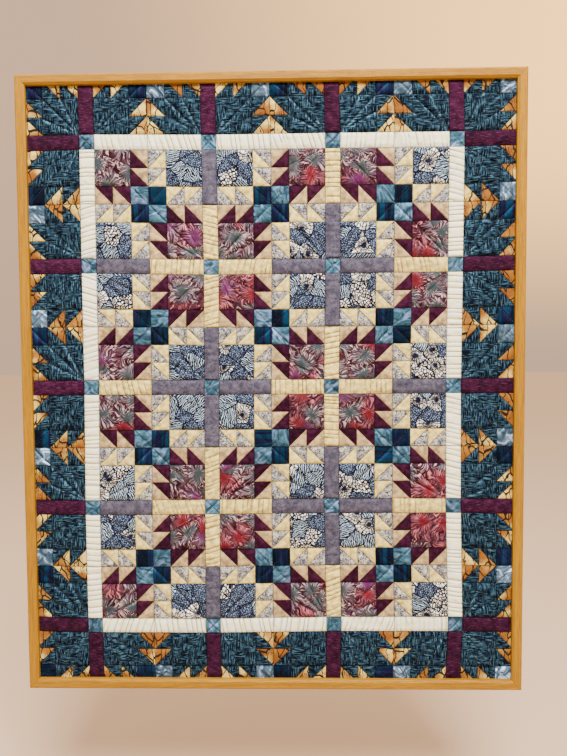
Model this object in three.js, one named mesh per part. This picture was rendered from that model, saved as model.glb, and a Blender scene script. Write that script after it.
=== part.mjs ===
// A pieced and quilted wall quilt, held by its edge in the groove of a mitred oak frame.
// The patchwork is the traditional bear's paw: paws of one large square and four split
// squares stand round each cornerstone of the sashing, and half paws make the border.
// Millimetres. X runs to the right along the quilt, Y into the wall, Z up.
// The origin is the middle of the top rail's back face, where the frame meets the wall.
import * as THREE from 'three';

// Patchwork, as finished sizes between seams
const patchSide = 38.1;
const sashWidth = 31.75;
const blocksAcross = 3;
const blocksDown = 4;
const patchesInBlock = 6;
const borderPatches = 3;
const bigPatches = 2;           // a big square is this many patches wide

// Frame
const openingWidth = 1033;
const openingHeight = 1281;
const railFace = 21.5;
const railDepth = 32;
const bevelWidth = 4.5;
const bevelDrop = 3.5;
const outerRound = 4.5;
const outerRoundSteps = 5;
const lipThickness = 10;
const grooveDepth = 12;
const clearance = 0.3;

// Quilt
const edgeTuck = 11;            // how far the quilt reaches under the frame's lip
const pressedEdge = 1;          // the rim lies flat from this far inside the opening
const quiltThickness = 6.7;     // pressed flat at the seams and in the groove
const bigSquarePuff = 2.4;
const stripPuff = 1.6;
const smallSquarePuff = 1.9;
const trianglePuff = 1.5;
const seamPuff = 0.5;           // seams inside the opening stand a little proud of the edge

// How far each cornerstone lies from an even grid, as the quilt was really sewn
const cornerstoneShifts = [
  { row: 0, right: [0.5, 0, 2, 2.5], up: [3, -1.5, -1, -1.5] },
  { row: 1, right: [0, 2.5, 1.5, 0.5], up: [2, -3.5, -2.5, -2] },
  { row: 2, right: [0.5, 0.5, -2.5, -2.5], up: [1, 0.5, 0.5, 1] },
  { row: 3, right: [-3, -1, -3, -1], up: [-1.5, 0.5, 3, 2.5] },
  { row: 4, right: [-2, -2.5, 1.5, 5], up: [-2.5, -3, 2, 2.5] },
];

// The wedges between a big square's quilted rays, as patch crossings counted out and up from
// the corner where the rays start
const bigSquareWedges = [
  [{ out: 0, up: 0 }, { out: 1, up: 0 }, { out: 2, up: 0 }, { out: 2, up: 1 }],
  [{ out: 0, up: 0 }, { out: 2, up: 1 }, { out: 2, up: 2 }],
  [{ out: 0, up: 0 }, { out: 2, up: 2 }, { out: 1, up: 2 }],
  [{ out: 0, up: 0 }, { out: 1, up: 2 }, { out: 0, up: 2 }, { out: 0, up: 1 }],
];

const centreZ = -(openingHeight + railFace) / 2;
const quiltBack = -railDepth + lipThickness + clearance + quiltThickness;
const quiltEdgeFront = quiltBack - quiltThickness;
const quiltHalfWidth = openingWidth / 2 + edgeTuck;
const quiltHalfHeight = openingHeight / 2 + edgeTuck;

const oak = new THREE.MeshStandardMaterial({ color: 0xc08a3e, roughness: 0.45, metalness: 0 });
const cotton = new THREE.MeshStandardMaterial({ color: 0x8d8a86, roughness: 0.9, metalness: 0 });

// The strips across or down the quilt: borders, sashes and the patches of each block.
// place is the patch's place in its block, and sash is a sash's number.
function stripsAlong(blocks) {
  const strips = [];
  const addPatches = (first, count) => {
    for (let i = 0; i < count; i++) strips.push({ size: patchSide, place: first + i });
  };
  addPatches(patchesInBlock - borderPatches, borderPatches);
  for (let block = 0; block <= blocks; block++) {
    strips.push({ size: sashWidth, sash: block });
    addPatches(0, block < blocks ? patchesInBlock : borderPatches);
  }
  const total = strips.reduce((sum, strip) => sum + strip.size, 0);
  let start = -total / 2;
  for (const strip of strips) {
    strip.start = start;
    start += strip.size;
  }
  return strips;
}

// A flat rim strip goes before the first and after the last.
function withRim(strips) {
  return [{ rim: true }, ...strips, { rim: true }];
}

const columns = withRim(stripsAlong(blocksAcross));
const rows = withRim(stripsAlong(blocksDown));

// Seam positions from one outer edge to the other. The outer patches stop at the pressed rim,
// and one more flat strip on each side runs on under the frame's lip.
function seamLines(strips, halfSize) {
  const rim = halfSize - edgeTuck - pressedEdge;
  const inner = strips.slice(2, -1).map((strip) => strip.start);
  return [-halfSize, -rim, ...inner, rim, halfSize];
}

const columnLines = seamLines(columns, quiltHalfWidth);
const rowLines = seamLines(rows, quiltHalfHeight);

// Where a position falls between the cornerstones, as the two nearest and the share between them.
// Past the outer cornerstones the shift fades to nothing at the quilt's edge.
function betweenCornerstones(position, blocks, halfSize) {
  const pitch = patchesInBlock * patchSide + sashWidth;
  const place = position / pitch + blocks / 2;
  if (place < 0) {
    return { low: 0, high: 0, share: 0, fade: (position + halfSize) / (halfSize - (blocks / 2) * pitch) };
  }
  if (place > blocks) {
    const fade = (halfSize - position) / (halfSize - (blocks / 2) * pitch);
    return { low: blocks, high: blocks, share: 0, fade };
  }
  const low = Math.min(Math.floor(place), blocks - 1);
  return { low, high: low + 1, share: place - low, fade: 1 };
}

// x runs right and down runs from the top, both from the quilt's centre.
function sewnShift(x, down) {
  const across = betweenCornerstones(x, blocksAcross, quiltHalfWidth);
  const along = betweenCornerstones(down, blocksDown, quiltHalfHeight);
  const fade = across.fade * along.fade;
  const read = (direction) => {
    const at = (row, column) => cornerstoneShifts[row][direction][column];
    const top = THREE.MathUtils.lerp(at(along.low, across.low), at(along.low, across.high), across.share);
    const base = THREE.MathUtils.lerp(at(along.high, across.low), at(along.high, across.high), across.share);
    return THREE.MathUtils.lerp(top, base, along.share) * fade;
  };
  return { right: read('right'), up: read('up') };
}

// A point on the quilt's face: puff is how far it stands in front of the pressed edge.
function facePoint(x, down, puff) {
  const shift = sewnShift(x, down);
  return [x + shift.right, quiltEdgeFront - puff, centreZ - down + shift.up];
}

// What a cell of the patchwork is, from its places in the block. A patch belongs to the paw of
// the nearest cornerstone, and right and down say which way that paw opens, as 1 or -1.
function cellKind(column, row) {
  if (column.rim || row.rim) return { kind: 'rim' };
  if (column.sash !== undefined && row.sash !== undefined) return { kind: 'cornerstone' };
  if (column.sash !== undefined || row.sash !== undefined) return { kind: 'strip' };
  const last = patchesInBlock - 1;
  const across = Math.min(column.place, last - column.place);
  const along = Math.min(row.place, last - row.place);
  const right = column.place < borderPatches ? 1 : -1;
  const down = row.place < borderPatches ? 1 : -1;
  if (across < bigPatches && along < bigPatches) {
    return { kind: across + along === 0 ? 'bigCorner' : 'bigRest', right, down };
  }
  const isSmall = across === bigPatches && along === bigPatches;
  return { kind: 'split', puff: isSmall ? smallSquarePuff : trianglePuff, right, down };
}

// The quilt's face as triangles. Seams and quilting lines lie low, and what they enclose is
// raised to a point: the wedges between a big square's three rays, the halves of a split or
// corner square, the quarters of a cornerstone, and the sashes' lengths between seams.
function quiltFace() {
  const corners = [];
  const triangles = [];
  const add = (point) => corners.push(point) - 1;

  const made = new Map();
  const crossing = (c, r) => {
    const key = `${c} ${r}`;
    if (!made.has(key)) {
      const onRim = r < 2 || c < 2 || r > rowLines.length - 3 || c > columnLines.length - 3;
      const [x, down] = [columnLines[c], rowLines[r]];
      made.set(key, { index: add(facePoint(x, down, onRim ? 0 : seamPuff)), x, down });
    }
    return made.get(key);
  };
  const raise = (loop, puff) => {
    const x = loop.reduce((sum, at) => sum + at.x, 0) / loop.length;
    const down = loop.reduce((sum, at) => sum + at.down, 0) / loop.length;
    const middle = add(facePoint(x, down, puff));
    loop.forEach((at, i) => triangles.push([middle, at.index, loop[(i + 1) % loop.length].index]));
  };

  // The paw's big square, from the corner that touches its cornerstone
  const raiseWedges = (c, r, { right, down }) => {
    const corner = { c: right === 1 ? c : c + 1, r: down === 1 ? r : r + 1 };
    for (const wedge of bigSquareWedges) {
      const loop = wedge.map(({ out, up }) => crossing(corner.c + out * right, corner.r + up * down));
      raise(right === down ? loop.reverse() : loop, bigSquarePuff);
    }
  };

  for (let r = 0; r < rows.length; r++) {
    for (let c = 0; c < columns.length; c++) {
      const cell = cellKind(columns[c], rows[r]);
      if (cell.kind === 'bigCorner') raiseWedges(c, r, cell);
      if (cell.kind === 'bigCorner' || cell.kind === 'bigRest') continue;
      const topLeft = crossing(c, r);
      const lowLeft = crossing(c, r + 1);
      const lowRight = crossing(c + 1, r + 1);
      const topRight = crossing(c + 1, r);
      if (cell.kind === 'strip') raise([topLeft, lowLeft, lowRight, topRight], stripPuff);
      if (cell.kind === 'split' && cell.right === cell.down) {
        raise([topLeft, lowLeft, lowRight], cell.puff);
        raise([topLeft, lowRight, topRight], cell.puff);
      }
      if (cell.kind === 'split' && cell.right !== cell.down) {
        raise([topLeft, lowLeft, topRight], cell.puff);
        raise([lowLeft, lowRight, topRight], cell.puff);
      }
      if (cell.kind === 'cornerstone') {
        const x = (topLeft.x + lowRight.x) / 2;
        const down = (topLeft.down + lowRight.down) / 2;
        const cross = { index: add(facePoint(x, down, seamPuff)), x, down };
        const round = [topLeft, lowLeft, lowRight, topRight];
        round.forEach((at, i) => raise([at, round[(i + 1) % 4], cross], smallSquarePuff));
      }
      if (cell.kind === 'rim') {
        triangles.push([topLeft.index, lowLeft.index, lowRight.index]);
        triangles.push([topLeft.index, lowRight.index, topRight.index]);
      }
    }
  }
  return { corners, triangles, crossing };
}

// A flat back and four thin sides close the quilted face into one solid.
function quiltGeometry() {
  const { corners, triangles, crossing } = quiltFace();
  const lastRow = rowLines.length - 1;
  const lastColumn = columnLines.length - 1;
  const rim = [];
  for (let c = 0; c < lastColumn; c++) rim.push(crossing(c, 0).index);
  for (let r = 0; r < lastRow; r++) rim.push(crossing(lastColumn, r).index);
  for (let c = lastColumn; c > 0; c--) rim.push(crossing(c, lastRow).index);
  for (let r = lastRow; r > 0; r--) rim.push(crossing(0, r).index);
  const backRim = rim.map((index) => corners.push([corners[index][0], quiltBack, corners[index][2]]) - 1);
  rim.forEach((index, i) => {
    const next = (i + 1) % rim.length;
    triangles.push([index, rim[next], backRim[next]], [index, backRim[next], backRim[i]]);
  });
  const outline = backRim.map((index) => new THREE.Vector2(corners[index][0], corners[index][2]));
  for (const [i, j, k] of capOf(outline)) triangles.push([backRim[i], backRim[j], backRim[k]]);
  return closedGeometry(corners, triangles);
}

// The triangles that fill an outline, each turning the same way round as the outline does.
function capOf(outline) {
  const wanted = Math.sign(THREE.ShapeUtils.area(outline));
  return THREE.ShapeUtils.triangulateShape(outline, []).map(([i, j, k]) => {
    const turns = Math.sign(THREE.ShapeUtils.area([outline[i], outline[j], outline[k]]));
    return turns === wanted ? [i, j, k] : [i, k, j];
  });
}

function closedGeometry(corners, triangles) {
  const geometry = new THREE.BufferGeometry();
  geometry.setAttribute('position', new THREE.Float32BufferAttribute(corners.flat(), 3));
  geometry.setIndex(outward(corners, triangles).flat());
  geometry.computeVertexNormals();
  return geometry;
}

// Turns every triangle over where the closed surface they make has its inside out.
function outward(corners, triangles) {
  const [a, b, c] = [new THREE.Vector3(), new THREE.Vector3(), new THREE.Vector3()];
  let sixVolumes = 0;
  for (const [i, j, k] of triangles) {
    a.fromArray(corners[i]);
    b.fromArray(corners[j]);
    c.fromArray(corners[k]);
    sixVolumes += a.dot(b.cross(c));
  }
  return sixVolumes > 0 ? triangles : triangles.map(([i, j, k]) => [i, k, j]);
}

// A rail's section: out is the distance from the opening's edge, y is the depth in the frame.
// The lip in front and the groove behind it hold the quilt's edge.
function railSection() {
  const section = [
    { out: 0, y: -railDepth + bevelDrop },
    { out: bevelWidth, y: -railDepth },
  ];
  for (let step = 0; step <= outerRoundSteps; step++) {
    const angle = (step / outerRoundSteps) * (Math.PI / 2);
    section.push({
      out: railFace - outerRound * (1 - Math.sin(angle)),
      y: -railDepth + outerRound * (1 - Math.cos(angle)),
    });
  }
  section.push(
    { out: railFace, y: 0 },
    { out: 0, y: 0 },
    { out: 0, y: quiltBack + clearance },
    { out: grooveDepth, y: quiltBack + clearance },
    { out: grooveDepth, y: -railDepth + lipThickness },
    { out: 0, y: -railDepth + lipThickness },
  );
  return section;
}

// A rail along X with its opening side down, cut at both ends to a mitre.
function railGeometry(openingLength) {
  const section = railSection();
  const mitreGap = (clearance / 2) * Math.SQRT2;
  const endOf = (side) =>
    section.map(({ out, y }) => [side * (openingLength / 2 + out - mitreGap), y, out]);
  const corners = [...endOf(-1), ...endOf(1)];
  const count = section.length;
  const triangles = [];
  for (let i = 0; i < count; i++) {
    const next = (i + 1) % count;
    triangles.push([i, next, count + next], [i, count + next, count + i]);
  }
  for (const [i, j, k] of capOf(section.map(({ out, y }) => new THREE.Vector2(out, y)))) {
    triangles.push([i, k, j], [count + i, count + j, count + k]);
  }
  return closedGeometry(corners, triangles);
}

function rail(name, openingLength, x, z, turn) {
  const mesh = new THREE.Mesh(railGeometry(openingLength), oak);
  mesh.name = name;
  mesh.position.set(x, 0, z);
  mesh.rotation.y = turn;
  return mesh;
}

function frame() {
  const group = new THREE.Group();
  const halfWidth = openingWidth / 2;
  const halfHeight = openingHeight / 2;
  group.add(
    rail('frame_top_rail', openingWidth, 0, centreZ + halfHeight, 0),
    rail('frame_bottom_rail', openingWidth, 0, centreZ - halfHeight, Math.PI),
    rail('frame_right_rail', openingHeight, halfWidth, centreZ, Math.PI / 2),
    rail('frame_left_rail', openingHeight, -halfWidth, centreZ, -Math.PI / 2),
  );
  return group;
}

function quilt() {
  const mesh = new THREE.Mesh(quiltGeometry(), cotton);
  mesh.name = 'quilt';
  return mesh;
}

const framedQuilt = new THREE.Group();
framedQuilt.add(frame(), quilt());

export default framedQuilt;
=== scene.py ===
import math
import random
from bisect import bisect_left, bisect_right

import bpy
from mathutils import Euler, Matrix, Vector, noise


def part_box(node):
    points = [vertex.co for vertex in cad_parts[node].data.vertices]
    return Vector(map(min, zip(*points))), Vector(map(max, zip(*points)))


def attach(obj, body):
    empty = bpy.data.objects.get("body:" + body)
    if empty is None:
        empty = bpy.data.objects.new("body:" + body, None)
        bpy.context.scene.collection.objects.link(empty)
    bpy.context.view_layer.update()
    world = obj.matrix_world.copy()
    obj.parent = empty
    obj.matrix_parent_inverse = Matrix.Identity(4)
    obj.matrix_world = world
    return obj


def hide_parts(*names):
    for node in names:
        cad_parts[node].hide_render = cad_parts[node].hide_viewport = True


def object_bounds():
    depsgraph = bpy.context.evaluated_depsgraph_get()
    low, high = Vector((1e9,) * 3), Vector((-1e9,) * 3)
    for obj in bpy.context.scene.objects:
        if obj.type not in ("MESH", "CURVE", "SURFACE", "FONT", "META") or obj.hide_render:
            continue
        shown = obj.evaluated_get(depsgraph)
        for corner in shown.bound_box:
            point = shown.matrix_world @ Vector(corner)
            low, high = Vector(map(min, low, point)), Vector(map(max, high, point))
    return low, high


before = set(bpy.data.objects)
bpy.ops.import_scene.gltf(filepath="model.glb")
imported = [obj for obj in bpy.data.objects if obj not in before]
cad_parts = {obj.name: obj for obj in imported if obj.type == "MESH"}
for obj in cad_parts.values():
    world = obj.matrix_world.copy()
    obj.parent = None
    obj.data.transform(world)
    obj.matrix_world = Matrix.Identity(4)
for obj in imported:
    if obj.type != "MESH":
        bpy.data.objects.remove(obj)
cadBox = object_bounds()
print("frame loaded")

# Metres. X runs right along the quilt, Y into the wall, Z up. Down is measured from the
# quilt's centre, and heights are measured out of the cloth, towards the viewer.

patchwork = {
    "patch": 0.0381,                   # finished side of a small patch
    "sash": 0.03175,
    "blocksAcross": 3,
    "blocksDown": 4,
    "offset": (0.0009, 0.0008),        # pieced centre from the frame's, right and down
    "shiftsRight": [                   # how far each cornerstone was sewn off an even grid, in mm
        [0.5, 0, 2, 2.5],
        [0, 2.5, 1.5, 0.5],
        [0.5, 0.5, -2.5, -2.5],
        [-3, -1, -3, -1],
        [-2, -2.5, 1.5, 5],
    ],
    "shiftsUp": [
        [3, -1.5, -1, -1.5],
        [2, -3.5, -2.5, -2],
        [1, 0.5, 0.5, 1],
        [-1.5, 0.5, 3, 2.5],
        [-2.5, -3, 2, 2.5],
    ],
    "pressedPlane": -0.0217,           # Y of the front where the frame's lip holds it
    "seed": 11,
    "cutReach": 0.8,                   # patches are cut from anywhere on this much cloth
    "cutSkew": 0.03,                   # and a directional print is laid nearly straight
    "nightCutAcross": 0.2,
}

relief = {
    "seam": 0.0002,                    # a seam stands this far in front of the pressed edge
    "bigSquare": 0.0053,
    "smallSquare": 0.0048,
    "triangle": 0.0025,
    "cornerstone": 0.0043,
    "sash": 0.0040,
    "plainSash": 0.3,                  # share of the quilted lines' depth in the darker sashes
    "sashPitch": 0.0127,               # between the lines quilted across a sash
    "sashSlant": 0.36,
    "sashWander": 0.95,
    "wanderScale": 45,                 # a scale is in humps of noise along a metre
    "sashLineReach": 0.0042,
    "seamReach": 0.008,                # the cloth is full this far from a seam
    "rayReach": 0.0078,                # and this far from a quilted line
    "rayShare": 0.92,                  # how much of the fullness a quilted line takes
    "sashReach": 0.0062,
    "sashEndReach": 0.004,
    "sashLineShare": 0.85,
    "sashPull": 0.7,                   # how hard the sashes' lines are drawn in, and how that drifts
    "sashPullDrift": 1.1,
    "sashPullScale": 26,
    "rayWobble": 0.05,                 # how far the outer rays of a fan turn, in radians
    "sag": 0.0004,                     # slow unevenness of the wadding
    "sagScale": 32,
    "sagReach": 0.006,
    "back": 0.0009,
    "edgeFade": 0.012,                 # pressed flat this near the frame's lip
    "lipGap": 0.0012,
    "stitchMargin": 0.003,             # no stitch is nearer to the lip
}

lattice = {
    "steps": 24,                       # fine steps along a patch or across a sash
    "patch": [0, 2, 5, 8, 12, 16, 19, 22, 24],
    "sash": [0, 3, 7, 12, 17, 21, 24],
    "rim": [0, 24],
    "backPatch": [0, 8, 16, 24],
    "backSash": [0, 12, 24],
}
farAway = 0.05                         # stands for no seam or quilted line nearby

bakeSheet = {                          # first U, first V and scale in the square of the OFBake UV map
    "front": (0.003, 0.003, 0.994),
    "back": (0.815, 0.005, 0.18),
    "edge": [0.9, 0.5],                # one place for the whole narrow edge
}


def smoothStep(value):
    value = min(max(value, 0.0), 1.0)
    return value * value * (3 - 2 * value)


def pillow(distance, reach):
    share = min(max(distance / reach, 0.0), 1.0)
    return 1 - (1 - share) ** 2


def shown(red, green, blue):           # a colour from the values that a screen shows
    def linear(value):
        value /= 255
        return value / 12.92 if value <= 0.04045 else ((value + 0.055) / 1.055) ** 2.4

    return (linear(red), linear(green), linear(blue), 1.0)


# Shader building

def addNode(tree, kind, inputs=None, **settings):
    node = tree.nodes.new(kind)
    for name, value in settings.items():
        setattr(node, name, value)
    for name, value in (inputs or {}).items():
        if isinstance(value, bpy.types.NodeSocket):
            tree.links.new(value, node.inputs[name])
        else:
            node.inputs[name].default_value = value
    return node


def calculate(tree, operation, first, second=0.0, third=0.0):
    node = addNode(tree, "ShaderNodeMath", {0: first, 1: second, 2: third}, operation=operation)
    return node.outputs[0]


def times(tree, first, second):
    return calculate(tree, "MULTIPLY", first, second)


def timesPlus(tree, first, second, more):
    return calculate(tree, "MULTIPLY_ADD", first, second, more)


def isAbove(tree, value, level):
    return calculate(tree, "GREATER_THAN", value, level)


def wave(tree, value, rate):           # even humps, 0 wherever value times rate is a multiple of pi
    return calculate(tree, "ABSOLUTE", calculate(tree, "SINE", times(tree, value, rate)))


def vectorMath(tree, operation, inputs):
    return addNode(tree, "ShaderNodeVectorMath", inputs, operation=operation).outputs[0]


def partsOf(tree, vector):             # its X, Y and Z
    return addNode(tree, "ShaderNodeSeparateXYZ", {0: vector}).outputs


def attributeOf(tree, name):
    return addNode(tree, "ShaderNodeAttribute", attribute_name=name).outputs


def bumpOf(tree, height):
    inputs = {"Height": height, "Distance": 1.0, "Strength": 1.0}
    return addNode(tree, "ShaderNodeBump", inputs).outputs[0]


def mixColours(tree, share, first, second, blend="MIX"):
    inputs = {0: share, 6: first, 7: second}
    return addNode(tree, "ShaderNodeMix", inputs, data_type="RGBA", blend_type=blend).outputs[2]


def softRange(tree, value, low, high):
    inputs = {"Value": value, "From Min": low, "From Max": high}
    return addNode(tree, "ShaderNodeMapRange", inputs, interpolation_type="SMOOTHSTEP").outputs[0]


def placed(tree, vector, scale=(1, 1, 1), turn=0.0, move=(0, 0, 0)):
    inputs = {"Vector": vector, "Scale": scale, "Rotation": (0, 0, turn), "Location": move}
    return addNode(tree, "ShaderNodeMapping", inputs).outputs[0]


def cloudy(tree, vector, scale, detail=2.0, roughness=0.5, distortion=0.0, dimensions="2D"):
    inputs = {"Vector": vector, "Scale": scale, "Detail": detail, "Roughness": roughness}
    node = addNode(tree, "ShaderNodeTexNoise", inputs, noise_dimensions=dimensions)
    node.inputs["Distortion"].default_value = distortion
    return node.outputs[0]


def swayed(tree, vector, scale, amount):   # the same places, each pushed about a little
    inputs = {"Vector": vector, "Scale": scale, "Detail": 1.0}
    drift = addNode(tree, "ShaderNodeTexNoise", inputs, noise_dimensions="2D").outputs["Color"]
    centred = vectorMath(tree, "SUBTRACT", {0: drift, 1: (0.5, 0.5, 0.5)})
    return vectorMath(tree, "MULTIPLY_ADD", {0: centred, 1: (amount, amount, 0), 2: vector})


def choose(tree, share, first, second):
    inputs = {0: share, 2: first, 3: second}
    return addNode(tree, "ShaderNodeMix", inputs, data_type="FLOAT").outputs[0]


def cells(tree, vector, scale, feature="F1"):
    inputs = {"Vector": vector, "Scale": scale}
    return addNode(tree, "ShaderNodeTexVoronoi", inputs, voronoi_dimensions="2D", feature=feature)


def blendOf(tree, factor, stops):      # a stop is a place from 0 to 1, then red, green and blue
    node = addNode(tree, "ShaderNodeValToRGB", {"Fac": factor})
    elements = node.color_ramp.elements
    for place, *colour in stops[1:-1]:
        elements.new(place).color = shown(*colour)
    for end in (0, -1):
        place, *colour = stops[end]
        elements[end].position = place
        elements[end].color = shown(*colour)
    return node.outputs[0]


def startGroup(name, inputs, outputs):
    tree = bpy.data.node_groups.new(name, "ShaderNodeTree")
    for label, kind, value in inputs:
        socket = tree.interface.new_socket(label, in_out="INPUT", socket_type=kind)
        if value is not None:
            socket.default_value = value
    for label, kind in outputs:
        tree.interface.new_socket(label, in_out="OUTPUT", socket_type=kind)
    return tree, tree.nodes.new("NodeGroupInput").outputs, tree.nodes.new("NodeGroupOutput").inputs


def useGroup(tree, group, inputs):
    return addNode(tree, "ShaderNodeGroup", inputs, node_tree=group).outputs


def startMaterial(name):
    material = bpy.data.materials.new(name)
    material.use_nodes = True
    material.node_tree.nodes.clear()
    return material, material.node_tree


def finishMaterial(tree, inputs):
    shader = addNode(tree, "ShaderNodeBsdfPrincipled", inputs)
    output = tree.nodes.new("ShaderNodeOutputMaterial")
    tree.links.new(shader.outputs[0], output.inputs[0])


def makeWeave():                       # plain weave, over one and under one
    inputs = [("Vector", "NodeSocketVector", None), ("Pitch", "NodeSocketFloat", 0.0006)]
    tree, given, result = startGroup("plainWeave", inputs, [("Height", "NodeSocketFloat")])
    count = calculate(tree, "DIVIDE", 1.0, given["Pitch"])
    scaled = vectorMath(tree, "SCALE", {0: given["Vector"], 3: count})
    warp, weft = [wave(tree, part, math.pi) for part in partsOf(tree, scaled)[:2]]
    checker = addNode(tree, "ShaderNodeTexChecker", {"Vector": scaled, "Scale": 1.0})
    tree.links.new(choose(tree, checker.outputs[1], warp, weft), result["Height"])
    return tree


lineShape = {                          # reaches in metres from a seam or a quilted ray
    "rayRise": (-0.0008, 0.0038),
    "seamRise": (-0.0005, 0.0024),
    # the two shade reaches below set where painted shade falls in a quilted ray's valley and in a seam's
    # ditch
    "rayShade": (0.0014, -0.0004),
    "seamShade": (-0.0002, 0.0020),
    "pleatHighlightStart": (0.0004, 0.0020),    # the painted highlight of a pleat lies on the ray's positive side
    "pleatHighlightEnd": (0.0075, 0.0024),
    "pullScale": 30.0,
    "pullRange": (0.32, 0.54),
    "pullByPatch": 0.12,               # some patches are quilted tighter than others
}


def makeStitchedLines():               # a seam's ditch and a quilted ray's valley, with painted shade in them and a painted highlight on the pleat beside a ray
    outputs = [(name, "NodeSocketFloat") for name in ("Height", "Unshaded Share", "Painted Highlight")]
    inputs = [("Vector", "NodeSocketVector", None)]
    inputs += [("Ray Depth", "NodeSocketFloat", 0.0021), ("Seam Depth", "NodeSocketFloat", 0.0009)]
    tree, given, result = startGroup("stitchedLines", inputs, outputs)

    def ofThree(operation, parts):
        return calculate(tree, operation, calculate(tree, operation, parts[0], parts[1]), parts[2])

    def nearest(gaps):
        return ofThree("MINIMUM", partsOf(tree, vectorMath(tree, "ABSOLUTE", {0: gaps})))

    def shape(name, gap):
        return softRange(tree, gap, *lineShape[name])

    rays = attributeOf(tree, "rayGap")["Vector"]
    ray = nearest(rays)
    seam = nearest(attributeOf(tree, "seamGap")["Vector"])
    clouds = cloudy(tree, given["Vector"], lineShape["pullScale"], 2.0)
    tightness = timesPlus(tree, attributeOf(tree, "tone")["Fac"], lineShape["pullByPatch"], clouds)
    pull = softRange(tree, tightness, *lineShape["pullRange"])
    depth = times(tree, given["Ray Depth"], timesPlus(tree, pull, 0.7, 0.4))
    rayHeight = times(tree, shape("rayRise", ray), depth)
    seamHeight = times(tree, shape("seamRise", seam), given["Seam Depth"])
    tree.links.new(calculate(tree, "ADD", rayHeight, seamHeight), result["Height"])
    # painted shade: darker along a quilted ray's valley and in a seam's ditch; the share is 1 where no shade
    # is painted
    paintedRayShade = times(tree, shape("rayShade", ray), timesPlus(tree, pull, 0.7, 0.2))
    unshadedShare = times(tree, shape("seamShade", seam), calculate(tree, "SUBTRACT", 1.0, paintedRayShade))
    tree.links.new(unshadedShare, result["Unshaded Share"])
    sides = partsOf(tree, rays)
    # painted highlight on the pleat at a quilted ray's positive side
    pleatHighlights = [times(tree, shape("pleatHighlightStart", side), shape("pleatHighlightEnd", side)) for side in sides]
    tree.links.new(times(tree, ofThree("MAXIMUM", pleatHighlights), pull), result["Painted Highlight"])
    return tree


def makeDyeing():                      # cloth never takes its dye quite evenly
    inputs = [("Color", "NodeSocketColor", None), ("Vector", "NodeSocketVector", None)]
    inputs += [("Amount", "NodeSocketFloat", 0.1), ("Scale", "NodeSocketFloat", 90.0)]
    tree, given, result = startGroup("unevenDye", inputs, [("Color", "NodeSocketColor")])
    clouds = cloudy(tree, given["Vector"], given["Scale"], 4.0, 0.6)
    centred = calculate(tree, "SUBTRACT", clouds, 0.5)
    drift = timesPlus(tree, centred, 2.0, attributeOf(tree, "tone")["Fac"])
    brightness = timesPlus(tree, drift, given["Amount"], 1.0)
    node = addNode(tree, "ShaderNodeHueSaturation", {"Value": brightness, "Color": given["Color"]})
    tree.links.new(node.outputs[0], result["Color"])
    return tree


weaveGroup = makeWeave()
stitchedGroup = makeStitchedLines()
dyeGroup = makeDyeing()

cottonFinish = {
    "roughness": 0.86,
    "sheen": 0.01,
    "specular": 0.05,
    "weavePitch": 0.00055,
    "weaveHeight": 0.00006,
    "puckerHeight": 0.00035,
    "puckerScale": 150.0,
    "paintedShadeStrength": 0.75,               # how far the painted shade in seams' ditches and quilted rays' valleys darkens the cloth
    # the dark neutral that the painted shade is mixed towards
    "paintedShadeColour": (0.12, 0.11, 0.12, 1.0),
}


def finishCotton(name, colourOf, dye=0.08, highlightLift=1.3):  # the last argument sets how strongly a highlight is painted on the pleats beside quilted rays
    material, tree = startMaterial(name)
    cut = addNode(tree, "ShaderNodeUVMap", uv_map="cut").outputs[0]
    dyed = useGroup(tree, dyeGroup, {"Color": colourOf(tree, cut), "Vector": cut, "Amount": dye})
    lines = useGroup(tree, stitchedGroup, {"Vector": cut})
    weave = useGroup(tree, weaveGroup, {"Vector": cut, "Pitch": cottonFinish["weavePitch"]})
    # painted highlight: the cloth is brightened on the pleats beside quilted rays
    brightness = timesPlus(tree, lines["Painted Highlight"], highlightLift, 1.0)
    inputs = {"Value": brightness, "Color": dyed["Color"]}
    lit = addNode(tree, "ShaderNodeHueSaturation", inputs).outputs[0]
    paintedShadeColour = cottonFinish["paintedShadeColour"]
    # painted shade for seams' ditches and quilted rays' valleys, used where the unshaded share drops
    shaded = mixColours(tree, cottonFinish["paintedShadeStrength"], lit, paintedShadeColour, "MULTIPLY")
    pucker = cloudy(tree, cut, cottonFinish["puckerScale"], 2.0, 0.55)
    height = timesPlus(tree, pucker, cottonFinish["puckerHeight"], lines["Height"])
    height = timesPlus(tree, weave["Height"], cottonFinish["weaveHeight"], height)
    finishMaterial(tree, {
        "Base Color": mixColours(tree, lines["Unshaded Share"], shaded, lit),
        "Normal": bumpOf(tree, height),
        "Roughness": cottonFinish["roughness"],
        "Sheen Weight": cottonFinish["sheen"],
        "Specular IOR Level": cottonFinish["specular"],
    })
    return material


# Prints, each a colour worked out from the cut patch's own flat place

def fromZones(tree, vector, scale):    # place round the middle of each zone of a print
    zone = cells(tree, vector, scale)
    away = vectorMath(tree, "SUBTRACT", {0: vector, 1: zone.outputs["Position"]})
    length = addNode(tree, "ShaderNodeVectorMath", {0: away}, operation="LENGTH")
    around = vectorMath(tree, "NORMALIZE", {0: away})
    return length.outputs["Value"], around, chancesOf(tree, zone)


def chancesOf(tree, zone):             # random numbers that each zone keeps
    return addNode(tree, "ShaderNodeSeparateColor", {0: zone.outputs["Color"]}).outputs


def zoneEdge(tree, vector, scale):     # distance from the border between zones
    return cells(tree, vector, scale, "DISTANCE_TO_EDGE").outputs[0]


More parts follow.
